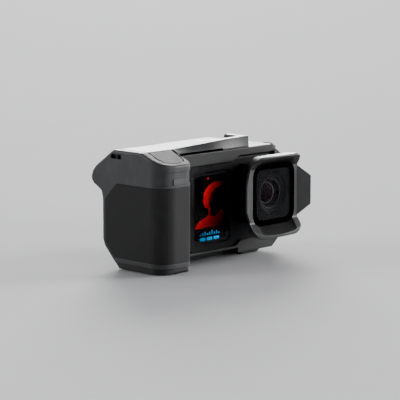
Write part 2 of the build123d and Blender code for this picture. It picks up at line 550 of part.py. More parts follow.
def make_grip_shell():
    shell = grip_form()
    inner_side = offset(grip_side(), -GRIP_WALL, kind=Kind.INTERSECTION)
    cavity = along_x(inner_side, GRIP_LEFT, GRIP_RIGHT) & along_z(grip_plan(GRIP_WALL), 0, GRIP_TOP)
    cavity -= chamfer_slab(-1, 7.0)
    shell -= cavity
    shell -= block(-100, 0, -100, 100, -1, GRIP_BASE_TOP)
    shell -= rubber_region(0.08) & (along_z(grip_plan(-1), 0, 60) - along_z(grip_plan(RUBBER_DEPTH), 0, 60))
    shell -= along_x(rect(-20.0, 16.0, 8.0, 56.0, 3.0), GRIP_RIGHT - 1.8, GRIP_RIGHT + 1)
    shell -= along_x(rect(-15.0, 12.0, 13.0, 51.0, 3.0), GRIP_RIGHT - 4, GRIP_RIGHT + 1)
    key_pocket = along_z(offset(outline(KEY_PLAN), KEY_GAP), 40, GRIP_TOP + 1)
    shell -= key_pocket & chamfer_slab(-2, KEY_DEPTH + KEY_TRAVEL + 0.3)
    shell -= block(COVER_LEFT - COVER_GAP, GRIP_RIGHT + 1, CHAMFER_Y - COVER_GAP, 10.7 + COVER_GAP,
                   GRIP_TOP - COVER_THICK - EPS, GRIP_TOP + 1)
    shell -= along_x(rect(LANYARD_Y - 4.25, LANYARD_Y + 4.25, 59.4, 61.8, 1.15), GRIP_LEFT - 1, GRIP_LEFT + 2.0)
    recess = along_y(rect(-81.7, GRIP_RIGHT + 1, 47.7, 54.5, 0.8), GRIP_FRONT - 1, -20.5)
    shell -= recess & (along_z(grip_plan(-1), 0, 60) - along_z(grip_plan(0.5), 0, 60))
    x0, x1, z0, z1 = INDICATOR
    shell -= along_y(rect(x0 - EPS, x1 + EPS, z0, z1, 0.7), GRIP_FRONT - 1, GRIP_FRONT + 1.5)
    shell -= power_place() * Cylinder(POWER_R + 0.2, 12)
    shell -= along_y(rect(-82.0, -72.4, 16.0, 36.0, 3.0), GRIP_REAR_FACE - 1.2, GRIP_REAR_FACE + 1)
    x0, x1, z0, z1 = PORT_DOOR
    shell -= along_y(rect(x0 - 0.25, x1 + 0.25, z0 - 0.25, z1 + 0.25, 1.2), GRIP_REAR_FACE - 1.5, GRIP_REAR_FACE + 1)
    socket = rect(GRIP_PORT_X - 1.75, GRIP_PORT_X + 1.75, GRIP_PORT_Z - 4.6, GRIP_PORT_Z + 4.6, 1.7)
    shell -= along_y(socket, GRIP_REAR_FACE - 5, GRIP_REAR_FACE)
    for x, y in SHELL_SCREWS:
        shell += rod_z(x, y, 2.2, GRIP_BASE_TOP, 9.0) & along_z(grip_plan(RUBBER_DEPTH), 0, 20)
        shell -= rod_z(x, y, 0.8, 0, 8.0)
    node("grip_shell", shell)


def make_grip_rubber():
    wrap = rubber_region(0) & (along_z(grip_plan(-RUBBER_PROUD), 0, 60)
                               - along_z(grip_plan(RUBBER_DEPTH - EPS), 0, 60))
    node("grip_rubber", wrap)
    pad = along_y(rect(-81.9, -72.5, 16.1, 35.9, 2.9), GRIP_REAR_FACE - 1.15, GRIP_REAR_FACE + 0.7)
    node("thumb_pad", fillet(pad.edges().group_by(Axis.Y)[-1], 0.6))


def make_grip_base():
    base = grip_form() & along_z(grip_plan(0.9), 0.4, GRIP_BASE_TOP - EPS)
    lip = offset(grip_side(), -GRIP_WALL - 0.3, kind=Kind.INTERSECTION)
    base += along_x(lip, GRIP_LEFT + 3, GRIP_RIGHT - 3) & along_z(grip_plan(GRIP_WALL + 0.2), 0.4, 5.6)
    for x, y in SHELL_SCREWS:
        base -= rod_z(x, y, 2.5, GRIP_BASE_TOP - 0.2, 7)
        base -= rod_z(x, y, 1.0, 0, 7)
        base -= rod_z(x, y, 2.0, 0, 1.9)
    feet = None
    for y0, y1 in ((-11.5, -0.5), (-21.5, -18.2)):
        foot = rect(-79.5, -66.0, y0, y1, 1.4)
        base -= along_z(offset(foot, EPS), 0, 1.2)
        pad = along_z(foot, 0, 1.2)
        feet = pad if feet is None else feet + pad
    node("grip_base", base)
    node("grip_feet", feet)
    screws = None
    for x, y in SHELL_SCREWS:
        one = screw(x, y, 1.9, FACE_DOWN, 1.8, 1.2, 0.78, 5.5)
        screws = one if screws is None else screws + one
    node("grip_base_screws", screws)


def make_grip_side_cover():
    cover = along_x(rect(-19.9, 15.9, 8.1, 55.9, 2.9), GRIP_RIGHT - 1.75, GRIP_RIGHT)
    cover -= along_x(rect(PORT_Y - 3.4, PORT_Y + 3.4, PORT_Z - 6.4, PORT_Z + 6.4, 2.0), -70, -60)
    screws = None
    for y, z in COVER_SCREWS:
        cover -= rod_x(y, z, 1.0, GRIP_RIGHT - 3, GRIP_RIGHT + 1)
        cover -= rod_x(y, z, 2.0, GRIP_RIGHT - 1.0, GRIP_RIGHT + 1)
        NODES["grip_shell"] -= rod_x(y, z, 0.8, GRIP_RIGHT - 3.5, GRIP_RIGHT)
        one = screw(GRIP_RIGHT - 1.0, y, z, FACE_RIGHT, 1.8, 0.9, 0.78, 1.6)
        screws = one if screws is None else screws + one
    for y, z in CAGE_SCREWS:
        cover -= rod_x(y, z, 1.02, GRIP_RIGHT - 3, GRIP_RIGHT + 1)
        NODES["grip_shell"] -= rod_x(y, z, 1.0, GRIP_RIGHT - 4, GRIP_RIGHT)
    node("grip_side_cover", cover)
    node("side_cover_screws", screws)


def make_grip_controls():
    key = along_z(outline(KEY_PLAN), 40, GRIP_TOP) & chamfer_slab(0, KEY_DEPTH)
    node("shutter_key", key)
    x = (GRIP_LEFT + GRIP_RIGHT) / 2
    button = Pos(0, 0, -1.2) * Cylinder(POWER_R, 3.6)
    button = fillet(button.edges().group_by(Axis.Z)[-1], 0.5)
    node("power_button", power_place() * button)
    x0, x1, z0, z1 = INDICATOR
    node("front_indicator", along_y(rect(x0, x1, z0 + EPS, z1 - EPS, 0.65), GRIP_FRONT + 0.25, GRIP_FRONT + 1.5))
    node("lanyard_bar", rod_z(GRIP_LEFT + 1.35, LANYARD_Y, 0.6, 59.4, 61.8))
    lean = math.degrees(math.atan2(GRIP_TOP - CHAMFER_FRONT_Z, CHAMFER_Y - GRIP_FRONT))
    place = Pos(x, -14.5, chamfer_z(-14.5) - KEY_DEPTH - KEY_TRAVEL - 0.8) * Rot(lean, 0, 0)
    NODES["grip_shell"] -= place * Pos(0, 0, 0.5) * Box(6.1, 6.1, 2.2)
    node("shutter_key_switch", place * Box(6.0, 6.0, 1.0))


def make_port_door():
    x0, x1, z0, z1 = PORT_DOOR
    inner, outer = GRIP_REAR_FACE - 1.1, GRIP_REAR_FACE + 0.1
    door = along_y(rect(x0, x1, z0, z1, 1.0), inner, outer)
    door -= block(PORT_DOOR_HINGE_X - 0.9, x1 + 1, inner - 1, outer + 1, z0 - 1, z1 + 1)
    door += rod_z(PORT_DOOR_HINGE_X, PORT_DOOR_HINGE_Y, 0.8, z0 + 1.2, z1 - 1.2)
    door += block(PORT_DOOR_HINGE_X - 1.2, PORT_DOOR_HINGE_X, inner, outer, z0 + 1.2, z1 - 1.2)
    door -= rod_z(PORT_DOOR_HINGE_X, PORT_DOOR_HINGE_Y, 0.4, z0 - 1, z1 + 1)
    node("port_door", door)
    node("port_door_pin", rod_z(PORT_DOOR_HINGE_X, PORT_DOOR_HINGE_Y, 0.36, z0 - 1.2, z1 + 1.2))
    NODES["grip_shell"] -= rod_z(PORT_DOOR_HINGE_X, PORT_DOOR_HINGE_Y, 0.38, z0 - 1.3, z1 + 1.3)


def usb_socket(length):
    """USB-C socket along local +Z, its long side along local Y, mouth at the origin."""
    shell = extrude(SlotOverall(8.9, 3.2), -length) - extrude(SlotOverall(8.4, 2.6), -length + 0.6)
    tongue = Pos(0, 0, -length / 2 - 0.4) * Box(6.7, 0.7, length - 1.0)
    return Rot(0, 0, 90) * (shell + tongue)


def make_ports():
    node("grip_charge_port", Pos(GRIP_PORT_X, GRIP_REAR_FACE - 1.6, GRIP_PORT_Z) * FACE_BACK * usb_socket(7.2))
    plug = along_x(rect(PORT_Y - 3.1, PORT_Y + 3.1, PORT_Z - 6.1, PORT_Z + 6.1, 1.9), -63.5, -53.0)
    plug += along_x(rect(PORT_Y - 1.2, PORT_Y + 1.2, PORT_Z - 4.1, PORT_Z + 4.1, 1.15), -53.0, -50.8)
    node("camera_plug", plug)
    node("camera_usb_port", Pos(-50.6, PORT_Y, PORT_Z) * Rot(0, -90, 0) * Rot(0, 0, 90) * usb_socket(6.0))


def make_grip_inside():
    cell = block(-80.8, -65.2, -20.0, 8.5, 11.0, 50.0)
    node("grip_battery", fillet(cell.edges().filter_by(Axis.Z), 2.0))
    board = block(-81.4, -64.2, 9.4, 10.6, 9.5, 52.0)
    board += block(-80, -72, 10.6, 12.2, 38, 47) + block(-78, -71, 10.6, 11.8, 14, 20)
    node("grip_board", board)


def make_grip():
    make_grip_shell()
    make_grip_rubber()
    make_grip_base()
    make_grip_side_cover()
    make_grip_controls()
    make_port_door()
    make_ports()
    make_grip_inside()


# Top bar with the accessory shoe
def bar_section(x, front_crease, top_z, front_low_z, rear_crease, rear_low):
    face = outline([
        (front_crease, top_z, 0), (CAGE_FRONT, front_low_z, 0), (CAGE_FRONT, CAGE_TOP + EPS, 0),
        (rear_low, CAGE_TOP + EPS, 0), (rear_crease, top_z, 0)])
    return Plane.YZ.offset(x) * face


def make_top_bar():
    left = bar_section(GRIP_RIGHT + EPS, CHAMFER_Y, GRIP_TOP, 61.95, 11.2, 13.6)
    middle = bar_section(BAR_MIDDLE, -12.3, 66.2, 61.75, 1.6, 3.6)
    right = bar_section(BAR_RIGHT, -14.2, BAR_TOP_RIGHT, 61.6, 0.2, 1.8)
    tail = loft([middle, right], ruled=True)
    end_edges = tail.edges().filter_by(lambda edge: edge.bounding_box().min.X > BAR_RIGHT - EPS)
    corner = end_edges.filter_by(lambda edge: edge.bounding_box().max.Y < -14.0)
    upper = end_edges.filter_by(lambda edge: edge.bounding_box().min.Z > BAR_TOP_RIGHT - EPS)
    tail = fillet(corner + upper, BAR_ROUND)
    bar = loft([left, middle], ruled=True) + tail
    bar += block(COVER_LEFT, GRIP_RIGHT + 0.1, CHAMFER_Y - 0.25, 10.7, GRIP_TOP - COVER_THICK, GRIP_TOP)
    gap = outline([(-61.5, 60, 0), (-26.0, 60, 0), (-27.6, 62.0, 0), (-61.5, 62.0, 0)])
    bar -= along_y(gap, CAGE_FRONT - 1, -3.0)
    x0, x1 = SHOE_CENTRE_X - SHOE_WIDTH / 2, SHOE_CENTRE_X + SHOE_WIDTH / 2
    bar -= block(x0, x1, SHOE_FRONT, 20, SHOE_FLOOR - 0.5, SHOE_FLOOR + SHOE_CHANNEL)
    x0, x1 = SHOE_CENTRE_X - SHOE_OPENING / 2, SHOE_CENTRE_X + SHOE_OPENING / 2
    bar -= along_z(outline([(x0, SHOE_FRONT, 1.0), (x1, SHOE_FRONT, 1.0), (x1, 20, 0), (x0, 20, 0)]), SHOE_FLOOR, 70)
    node("top_bar", bar)
    x0, x1 = SHOE_CENTRE_X - SHOE_WIDTH / 2 + EPS, SHOE_CENTRE_X + SHOE_WIDTH / 2 - EPS
    plate = block(x0, x1, SHOE_FRONT + 0.1, SHOE_BACK, SHOE_FLOOR - 0.5, SHOE_FLOOR)
    screws = None
    for x in (SHOE_CENTRE_X - 5.0, SHOE_CENTRE_X + 5.0):
        plate -= rod_z(x, SHOE_SCREW_Y, 1.7, SHOE_FLOOR - 1, SHOE_FLOOR + 1)
        NODES["top_bar"] -= rod_z(x, SHOE_SCREW_Y, 0.8, CAGE_TOP, SHOE_FLOOR)
        one = screw(x, SHOE_SCREW_Y, SHOE_FLOOR - 0.5, FACE_UP, 1.65, 0.48, 0.78, 1.1)
        screws = one if screws is None else screws + one
    node("shoe_plate", plate)
    node("shoe_screws", screws)


# Lens hood with four petals
def make_hood():
    reach = HOOD_HALF + HOOD_FLARE
    base = rect(-HOOD_HALF, HOOD_HALF, HOOD_BOTTOM, HOOD_TOP, HOOD_CORNER)
    hood = taper(base, HOOD_STEP, rect(-reach, reach, HOOD_BOTTOM, HOOD_TOP, HOOD_CORNER), HOOD_TIP)
    front_arc = ThreePointArc((-reach - 1, HOOD_TIP + 2.2), (0, HOOD_TIP), (reach + 1, HOOD_TIP + 2.2))
    plan = make_face(front_arc + Polyline((reach + 1, HOOD_TIP + 2.2), (reach + 1, 0),
                                          (-reach - 1, 0), (-reach - 1, HOOD_TIP + 2.2)))
    hood &= along_z(plan, 0, 70)
    hood = fillet(hood.edges().filter_by(lambda edge: edge.bounding_box().max.Y < HOOD_TIP + 3), 0.5)
    hood = fillet(hood.edges().filter_by(lambda edge: edge.bounding_box().min.Y > HOOD_STEP - 0.1), 0.6)
    hood += along_y(square(SLEEVE_HALF, PANEL_CORNER + 1.2), HOOD_STEP - 0.5, HOOD_REAR)
    hood -= along_y(square(PANEL_HALF + HOOD_GAP, PANEL_CORNER + HOOD_GAP), PANEL_FRONT - 0.1, HOOD_REAR)
    mouth = rect(-18.5, 18.5, 13.4, 56.3, 6.0)
    hood -= taper(square(PANEL_HALF + HOOD_GAP, PANEL_CORNER + HOOD_GAP), PANEL_FRONT, mouth, HOOD_TIP)
    notch = outline([
        (PANEL_FRONT, 20.6, 1.5), (PANEL_FRONT, 50.4, 1.5), (-31.4, 55.9, 0), (-40.0, 56.4, 0),
        (-40.0, 13.0, 0), (-33.0, 13.4, 0)])
    hood -= along_x(notch, -reach - 1, reach + 1)
    wing_edge = HOOD_HALF + WING_REACH + 0.5
    for side in (-1, 1):
        plan = outline([(side * x, y, radius) for x, y, radius in (
            (17.5, -26.2, 0), (HOOD_HALF + WING_REACH, PANEL_FRONT - WING_FORWARD, 0.5),
            (HOOD_HALF + WING_REACH + 0.6, PANEL_FRONT - WING_FORWARD + 1.2, 0.4), (HOOD_HALF, HOOD_STEP - 0.1, 0))])
        shape = outline([(side * x, LENS_Z + z, radius) for x, z, radius in (
            (17.0, -14.4, 0), (HOOD_HALF, -13.9, 1.0), (wing_edge, -7.4, 2.2), (wing_edge, 7.4, 2.2),
            (HOOD_HALF, 13.9, 1.0), (17.0, 14.4, 0))])
        hood += along_z(plan, 10, 60) & along_y(shape, -40, -20)
    screws = None
    for x in (-12.5, 12.5):
        hood -= rod_z(x, HOOD_SCREW_Y, 0.8, 10, HOOD_BOTTOM + 4.4)
        hood -= rod_z(x, HOOD_SCREW_Y, 1.7, 10, HOOD_BOTTOM + 1.0)
        one = screw(x, HOOD_SCREW_Y, HOOD_BOTTOM + 1.0, FACE_DOWN, 1.6, 0.9, 0.78, 3.2)
        screws = one if screws is None else screws + one
    hood -= along_y(square(LINER_HALF + 0.03, PANEL_CORNER + 0.6), LINER_FRONT - 0.03, LINER_BACK + 0.03)
    node("lens_hood", hood)
    node("hood_screws", screws)
    liner = along_y(square(LINER_HALF, PANEL_CORNER + 0.6), LINER_FRONT, LINER_BACK)
    liner -= along_y(square(PANEL_HALF + 0.08, PANEL_CORNER + 0.08), LINER_FRONT - 1, LINER_BACK + 1)
    node("hood_liner", liner)


def main():
    os.makedirs("parts", exist_ok=True)
    make_camera()
    make_cage()
    make_grip()
    make_top_bar()
    make_hood()
    for name, shape in NODES.items():
        export_step(shape, f"parts/{name}.step")
        print(name, round(shape.volume, 1), len(shape.solids()))


main()
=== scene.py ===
import json
import math

import bmesh
import bpy
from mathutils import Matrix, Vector


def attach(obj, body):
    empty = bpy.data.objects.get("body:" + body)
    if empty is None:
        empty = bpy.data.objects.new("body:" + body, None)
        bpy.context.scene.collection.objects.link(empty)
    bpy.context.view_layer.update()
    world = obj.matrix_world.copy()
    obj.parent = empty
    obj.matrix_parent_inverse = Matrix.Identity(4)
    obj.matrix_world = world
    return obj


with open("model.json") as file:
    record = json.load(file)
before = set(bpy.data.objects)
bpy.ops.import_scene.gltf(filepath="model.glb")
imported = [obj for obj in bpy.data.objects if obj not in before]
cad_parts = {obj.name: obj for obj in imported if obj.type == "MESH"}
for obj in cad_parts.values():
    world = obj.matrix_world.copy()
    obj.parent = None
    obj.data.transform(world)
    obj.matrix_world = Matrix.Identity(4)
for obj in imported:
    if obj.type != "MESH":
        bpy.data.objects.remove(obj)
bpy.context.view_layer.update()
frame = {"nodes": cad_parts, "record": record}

NODES = frame["nodes"]
ROOT_BODY = "camera_and_grip"

# Lengths are in millimetres of the shared frame, and MM turns them into metres. CELL_EDGE is the radius where
# the lens cell's grey front starts, and HOOD_INNER_SIDE is half the width inside the hood
MM = 0.001
LENS_Z = 35.4
PANEL_FRONT = -27.35
CELL_EDGE = 8.3
HOOD_INNER_SIDE = 18.2
PICTURE_FRONT, PICTURE_BACK = -11.845, -11.81

# Camera: the photograph's viewing angle
CAMERA_AZIMUTH = math.radians(-46.58)
CAMERA_ELEVATION = math.radians(9.07)
CAMERA_DISTANCE_M = 1.004
CAMERA_TARGET = Vector((-23.0, -8.0, 30.0)) * MM
CAMERA_LENS = 164.4
CAMERA_PAN = math.radians(0.613)
CAMERA_TILT = math.radians(0.131)

# Studio: each light has the direction it comes from, its strength and its width in degrees
LIGHTS = {
    "back_light": ((0.66, 0.68, 0.36), 2.6, 30),
    "top_light": ((0.25, 0.45, 0.85), 0.7, 50),
    "left_light": ((-0.72, 0.66, 0.30), 1.3, 30),
    "front_light": ((0.86, -0.50, 0.26), 2.8, 26),
    "fill_light": ((0.06, -0.98, 0.18), 1.3, 36),
    "right_light": ((0.995, 0.02, 0.12), 1.2, 25),
}
SKY_COLOUR = (0.62, 0.64, 0.67)
SKY_STRENGTH = 0.22
FLOOR_REACH_M = 8.0

# Surfaces: sizes of grain, of edges (rubbed, and lightened with painted highlights) and of grooves, and the
# usual range of a noise
NOISE_SPAN = (0.3, 0.7)
MOULD_GRAIN, MOULD_GRAIN_DEPTH = 0.22, 0.012
MOULD_EDGE, MOULD_WEAR_AND_HIGHLIGHT = 0.35, 0.5
RUBBER_EDGE, RUBBER_WEAR_AND_HIGHLIGHT = 0.4, 0.35
BRUSH_WIDTH, BRUSH_STRETCH = 0.12, 0.12
BAFFLE_PITCH, BAFFLE_STEP = 0.7, 0.6


def direction(azimuth, elevation):
    """Unit vector that points from the object back towards a viewer."""
    flat = math.cos(elevation)
    return Vector((math.sin(azimuth) * flat, -math.cos(azimuth) * flat, math.sin(elevation)))


def make_camera():
    back = direction(CAMERA_AZIMUTH, CAMERA_ELEVATION)
    right = Vector((math.cos(CAMERA_AZIMUTH), math.sin(CAMERA_AZIMUTH), 0))
    up = back.cross(right)
    look = -back - right * math.tan(CAMERA_PAN) + up * math.tan(CAMERA_TILT)
    data = bpy.data.cameras.new("camera")
    data.lens = CAMERA_LENS
    data.clip_start = 0.05
    data.clip_end = 20
    camera = bpy.data.objects.new("camera", data)
    camera.location = CAMERA_TARGET + back * CAMERA_DISTANCE_M
    camera.rotation_mode = "QUATERNION"
    camera.rotation_quaternion = look.to_track_quat("-Z", "Y")
    bpy.context.scene.collection.objects.link(camera)
    bpy.context.scene.camera = camera


# Node helpers
def new_material(name):
    """Empty material with its output and a Principled shader."""
    material = bpy.data.materials.new(name)
    material.use_nodes = True
    tree = material.node_tree
    tree.nodes.clear()
    output = tree.nodes.new("ShaderNodeOutputMaterial")
    shader = tree.nodes.new("ShaderNodeBsdfPrincipled")
    tree.links.new(shader.outputs[0], output.inputs[0])
    return material, tree, shader


def fill(tree, socket, value):
    """Links a node's output to a socket, or sets the socket to a plain value."""
    if isinstance(value, bpy.types.NodeSocket):
        tree.links.new(value, socket)
    else:
        socket.default_value = value


def add(tree, kind, inputs=None, **settings):
    node = tree.nodes.new(kind)
    for key, value in settings.items():
        setattr(node, key, value)
    for key, value in (inputs or {}).items():
        fill(tree, node.inputs[key], value)
    return node


def object_coordinates(tree):
    return add(tree, "ShaderNodeTexCoord").outputs["Object"]


def components(tree, vector):
    return add(tree, "ShaderNodeSeparateXYZ", {0: vector}).outputs


def face_normal(tree):
    return add(tree, "ShaderNodeNewGeometry").outputs["Normal"]


def noise(tree, vector, size, detail=3.0, roughness=0.55):
    """Noise whose features are about size millimetres across."""
    inputs = {"Vector": vector, "Scale": 1.0 / (size * MM), "Detail": detail, "Roughness": roughness}
    return add(tree, "ShaderNodeTexNoise", inputs).outputs["Fac"]


def math_node(tree, operation, a, b=0.0):
    return add(tree, "ShaderNodeMath", {0: a, 1: b}, operation=operation).outputs[0]


def vector_node(tree, operation, a, b):
    return add(tree, "ShaderNodeVectorMath", {0: a, 1: b}, operation=operation).outputs[0]


def dot_product(tree, a, b):
    return add(tree, "ShaderNodeVectorMath", {0: a, 1: b}, operation="DOT_PRODUCT").outputs["Value"]


def wave(tree, value, pitch):
    """Sine ridges, pitch millimetres apart."""
    return math_node(tree, "SINE", math_node(tree, "MULTIPLY", value, 2 * math.pi / (pitch * MM)))


def remap(tree, value, low, high, to_low, to_high):
    inputs = {"Value": value, "From Min": low, "From Max": high, "To Min": to_low, "To Max": to_high}
    return add(tree, "ShaderNodeMapRange", inputs).outputs["Result"]


def spread_noise(tree, value, to_low, to_high):
    """Stretches the usual range of a noise to a chosen range."""
    return remap(tree, value, *NOISE_SPAN, to_low, to_high)


def mix_colour(tree, factor, a, b):
    node = tree.nodes.new("ShaderNodeMix")
    node.data_type = "RGBA"
    for index, value in ((0, factor), (6, a), (7, b)):
        fill(tree, node.inputs[index], value)
    return node.outputs[2]


def colour(r, g, b):
    return (r, g, b, 1.0)


def shade(base, factor, lift=0.0):
    """A lighter or darker version of a colour."""
    return colour(*[min(1.0, c * factor + lift) for c in base])


def soft_normal(tree, radius, samples=4):
    """Normal whose edges are rounded by radius millimetres."""
    return add(tree, "ShaderNodeBevel", {"Radius": radius * MM}, samples=samples).outputs[0]


def edge_mask(tree, radius):
    """1 along convex and concave edges, 0 on flat stretches."""
    dot = dot_product(tree, soft_normal(tree, radius, 6), face_normal(tree))
    return remap(tree, math_node(tree, "SUBTRACT", 1.0, dot), 0.02, 0.18, 0.0, 1.0)


def bump(tree, height, depth, strength=1.0, normal=None):
    """Bump whose height of 1 stands depth millimetres proud."""
    inputs = {"Height": height, "Distance": depth * MM, "Strength": strength}
    if normal is not None:
        inputs["Normal"] = normal
    return add(tree, "ShaderNodeBump", inputs).outputs[0]


# Materials
def hood_inside(tree, where):
    """Mask for painted shade: 1 on the hood's faces that look towards the lens axis, 0 on its outside and its
    side petals.
    """
    radial = vector_node(tree, "SUBTRACT", where, (0, 0, LENS_Z * MM))
    radial = vector_node(tree, "MULTIPLY", radial, (1, 0, 1))
    inward = dot_product(tree, face_normal(tree), radial)
    inner = remap(tree, inward, -1.0 * MM, -4.5 * MM, 0.0, 1.0)
    across = math_node(tree, "ABSOLUTE", components(tree, where)[0])
    between = remap(tree, across, HOOD_INNER_SIDE * MM, (HOOD_INNER_SIDE + 0.6) * MM, 1.0, 0.0)
    return math_node(tree, "MULTIPLY", inner, between)


def moulded(name, base, rough, specular=0.5, black_inside=False):
    """Spark-eroded moulded plastic: fine grain, cloudy sheen, and rubbed edges lightened partly with painted
    highlights; optionally painted shade inside the hood.
    """
    material, tree, shader = new_material(name)
    where = object_coordinates(tree)
    fine = noise(tree, where, MOULD_GRAIN, 2.0)
    cloud = noise(tree, where, 11, 4.0, 0.6)
    smear = noise(tree, where, 2.3, 3.0)
    patchy = remap(tree, cloud, 0.35, 0.65, 0.35, 1.0)
    rubbed_and_highlit = math_node(tree, "MULTIPLY", edge_mask(tree, MOULD_EDGE), patchy)
    body = mix_colour(tree, spread_noise(tree, cloud, 0.0, 1.0), shade(base, 0.82), shade(base, 1.22))
    # Edges lightened: partly rubbed wear, partly painted highlight.
    body = mix_colour(tree, math_node(tree, "MULTIPLY", rubbed_and_highlit, MOULD_WEAR_AND_HIGHLIGHT), body, shade(base, 1.5, 0.035))
    # Hood faces that look towards the lens axis get painted near-black shade, standing for the shade inside
    # the hood.
    if black_inside:
        body = mix_colour(tree, hood_inside(tree, where), body, colour(0.006, 0.006, 0.006))
    tree.links.new(body, shader.inputs["Base Color"])
    sheen = spread_noise(tree, smear, rough - 0.06, rough + 0.06)
    sheen = math_node(tree, "SUBTRACT", sheen, math_node(tree, "MULTIPLY", rubbed_and_highlit, 0.12))
    tree.links.new(sheen, shader.inputs["Roughness"])
    rounded = soft_normal(tree, MOULD_EDGE, 6)
    tree.links.new(bump(tree, fine, MOULD_GRAIN_DEPTH, 1.0, rounded), shader.inputs["Normal"])
    shader.inputs["Specular IOR Level"].default_value = specular
    return material


def rubber(name, base, rough, pitch=1.1, height=0.07):
    """Moulded rubber with a fine raised diamond texture, a dusty bloom, and edges lightened partly as wear
    and partly as painted highlights.
    """
    material, tree, shader = new_material(name)
    where = object_coordinates(tree)
    x, y, z = components(tree, where)
    along = math_node(tree, "ADD", x, y)
    rising = wave(tree, math_node(tree, "ADD", along, z), pitch)
    falling = wave(tree, math_node(tree, "SUBTRACT", along, z), pitch)
    diamond = math_node(tree, "MULTIPLY", rising, falling)
    fine = noise(tree, where, 0.25, 2.0)
    cloud = noise(tree, where, 9, 4.0, 0.65)
    rubbed_and_highlit = math_node(tree, "MULTIPLY", edge_mask(tree, RUBBER_EDGE), RUBBER_WEAR_AND_HIGHLIGHT)
    body = mix_colour(tree, spread_noise(tree, cloud, 0.0, 1.0), shade(base, 0.8), shade(base, 1.35, 0.004))
    # Edges lightened: partly rubbed wear, partly painted highlight.
    body = mix_colour(tree, rubbed_and_highlit, body, shade(base, 1.7, 0.02))
    tree.links.new(body, shader.inputs["Base Color"])
    tree.links.new(spread_noise(tree, cloud, rough - 0.08, rough + 0.08), shader.inputs["Roughness"])
    raised = bump(tree, diamond, height, 0.7, soft_normal(tree, RUBBER_EDGE, 6))
    tree.links.new(bump(tree, fine, 0.01, 1.0, raised), shader.inputs["Normal"])
    shader.inputs["Specular IOR Level"].default_value = 0.35
    return material


def metal(name, base, rough):
    """Turned or brushed metal with fine lines and dulled patches."""
    material, tree, shader = new_material(name)
    where = object_coordinates(tree)
    stretch = add(tree, "ShaderNodeMapping", {0: where, 3: (1.0, 1.0, BRUSH_STRETCH)}).outputs[0]
    lines = noise(tree, stretch, BRUSH_WIDTH, 3.0)
    cloud = noise(tree, where, 3, 3.0)
    tree.links.new(mix_colour(tree, cloud, shade(base, 0.75), colour(*base)), shader.inputs["Base Color"])
    shader.inputs["Metallic"].default_value = 1.0
    tree.links.new(spread_noise(tree, cloud, rough - 0.08, rough + 0.12), shader.inputs["Roughness"])
    tree.links.new(bump(tree, lines, 0.008, 1.0, soft_normal(tree, 0.15)), shader.inputs["Normal"])
    return material


def polished(name, base, rough, coat, specular=0.5):
    """Polished dark plastic with faint smears."""
    material, tree, shader = new_material(name)
    smear = noise(tree, object_coordinates(tree), 4, 4.0, 0.6)
    tree.links.new(mix_colour(tree, smear, shade(base, 0.8), shade(base, 1.25)), shader.inputs["Base Color"])
    tree.links.new(spread_noise(tree, smear, rough * 0.7, rough * 1.6), shader.inputs["Roughness"])
    shader.inputs["Coat Weight"].default_value = coat
    shader.inputs["Coat Roughness"].default_value = 0.05
    shader.inputs["Specular IOR Level"].default_value = specular
    tree.links.new(soft_normal(tree, 0.2), shader.inputs["Normal"])
    return material


def pass_lamps(tree, shader, tint):
    """Lets lamp light through a glass piece, so that what lies behind it is lit evenly."""
    clear = add(tree, "ShaderNodeBsdfTransparent", {"Color": colour(*tint)})
    shadow = add(tree, "ShaderNodeLightPath").outputs["Is Shadow Ray"]
    mix = add(tree, "ShaderNodeMixShader", {0: shadow, 1: shader.outputs[0], 2: clear.outputs[0]})
    tree.links.new(mix.outputs[0], tree.nodes["Material Output"].inputs[0])


def clear_glass(name):
    """Dark cover glass with faint finger smudges."""
    material, tree, shader = new_material(name)
    smear = noise(tree, object_coordinates(tree), 12, 2.0, 0.5)
    tint = mix_colour(tree, smear, colour(0.72, 0.73, 0.75), colour(0.80, 0.81, 0.83))
    tree.links.new(tint, shader.inputs["Base Color"])
    shader.inputs["Transmission Weight"].default_value = 1.0
    shader.inputs["IOR"].default_value = 1.14
    tree.links.new(remap(tree, smear, 0.45, 0.75, 0.06, 0.09), shader.inputs["Roughness"])
    pass_lamps(tree, shader, (0.75, 0.76, 0.78))
    return material


def lens_coating(name):
    """Dark lens glass whose coating throws a magenta reflection."""
    material, tree, shader = new_material(name)
    dust = noise(tree, object_coordinates(tree), 4, 1.0)
    tint = mix_colour(tree, dust, colour(0.40, 0.32, 0.36), colour(0.46, 0.38, 0.42))
    tree.links.new(tint, shader.inputs["Base Color"])
    shader.inputs["Specular Tint"].default_value = colour(0.95, 0.22, 0.34)
    shader.inputs["Transmission Weight"].default_value = 1.0
    shader.inputs["IOR"].default_value = 1.18
    tree.links.new(spread_noise(tree, dust, 0.10, 0.16), shader.inputs["Roughness"])
    pass_lamps(tree, shader, (0.62, 0.56, 0.60))
    return material


def circuit_board(name):
    """Solder mask over copper tracks."""
    material, tree, shader = new_material(name)
    where = object_coordinates(tree)
    inputs = {"Vector": where, "Scale": 900.0, "Mortar Size": 0.02, "Color1": colour(0.02, 0.10, 0.05),
              "Color2": colour(0.015, 0.08, 0.04), "Mortar": colour(0.05, 0.18, 0.08)}
    tracks = add(tree, "ShaderNodeTexBrick", inputs)
    tree.links.new(tracks.outputs["Color"], shader.inputs["Base Color"])
    tree.links.new(spread_noise(tree, noise(tree, where, 2), 0.3, 0.45), shader.inputs["Roughness"])
    tree.links.new(bump(tree, tracks.outputs["Fac"], 0.02), shader.inputs["Normal"])
    return material


def panel_grey(tree, cloud):
    """Dark satin grey shared by the lens cell's front and the panel's floor."""
    return mix_colour(tree, cloud, colour(0.0105, 0.0105, 0.011), colour(0.0135, 0.0135, 0.014))


